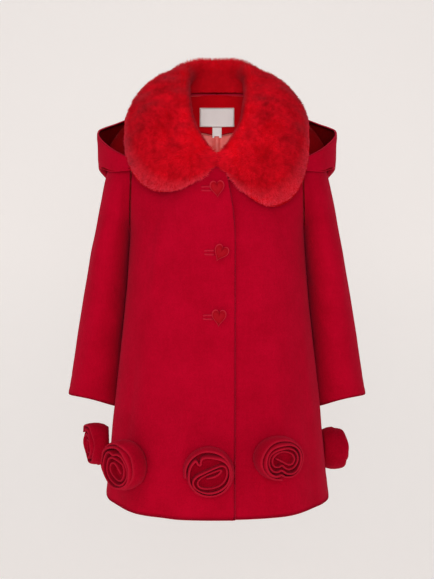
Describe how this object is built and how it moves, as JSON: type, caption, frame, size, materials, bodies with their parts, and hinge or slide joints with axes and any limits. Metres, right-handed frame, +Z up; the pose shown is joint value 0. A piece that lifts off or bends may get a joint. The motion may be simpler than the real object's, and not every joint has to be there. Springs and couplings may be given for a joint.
{
  "type": "child's hooded coat with fur collar, worn, held by the wearer's shoulders",
  "caption": "Child's flared felt coat with a round fur collar, hood laid back, heart buttons and rolled felt roses near the hem; worn form, hollow, open at neck, hem and cuffs.",
  "frame": {"origin": "middle of the neck's base, level with the tops of the shoulder seams, where the wearer's shoulders hold the coat", "axes": "+X to the wearer's left, -Y to the front, +Z up along the worn coat; the coat hangs below the origin"},
  "size_m": [0.412, 0.2946, 0.6025],
  "materials": {
    "felt": "matt wool felt",
    "fur": "soft dense pile",
    "satin": "smooth lining cloth",
    "label": "woven, bare",
    "button": "satin"
  },
  "bodies": {
    "root": {"front_right": "felt", "front_left": "felt", "back": "felt", "sleeve_right": "felt", "sleeve_left": "felt", "hood_right": "felt", "hood_left": "felt", "neck_facing": "felt", "rose_1": "felt", "rose_2": "felt", "rose_3": "felt", "rose_4": "felt", "rose_5": "felt", "collar": "fur", "back_lining": "satin", "label": "label", "size_tab": "label", "button_1": "button", "button_2": "button", "button_3": "button"}
  },
  "joints": []
}
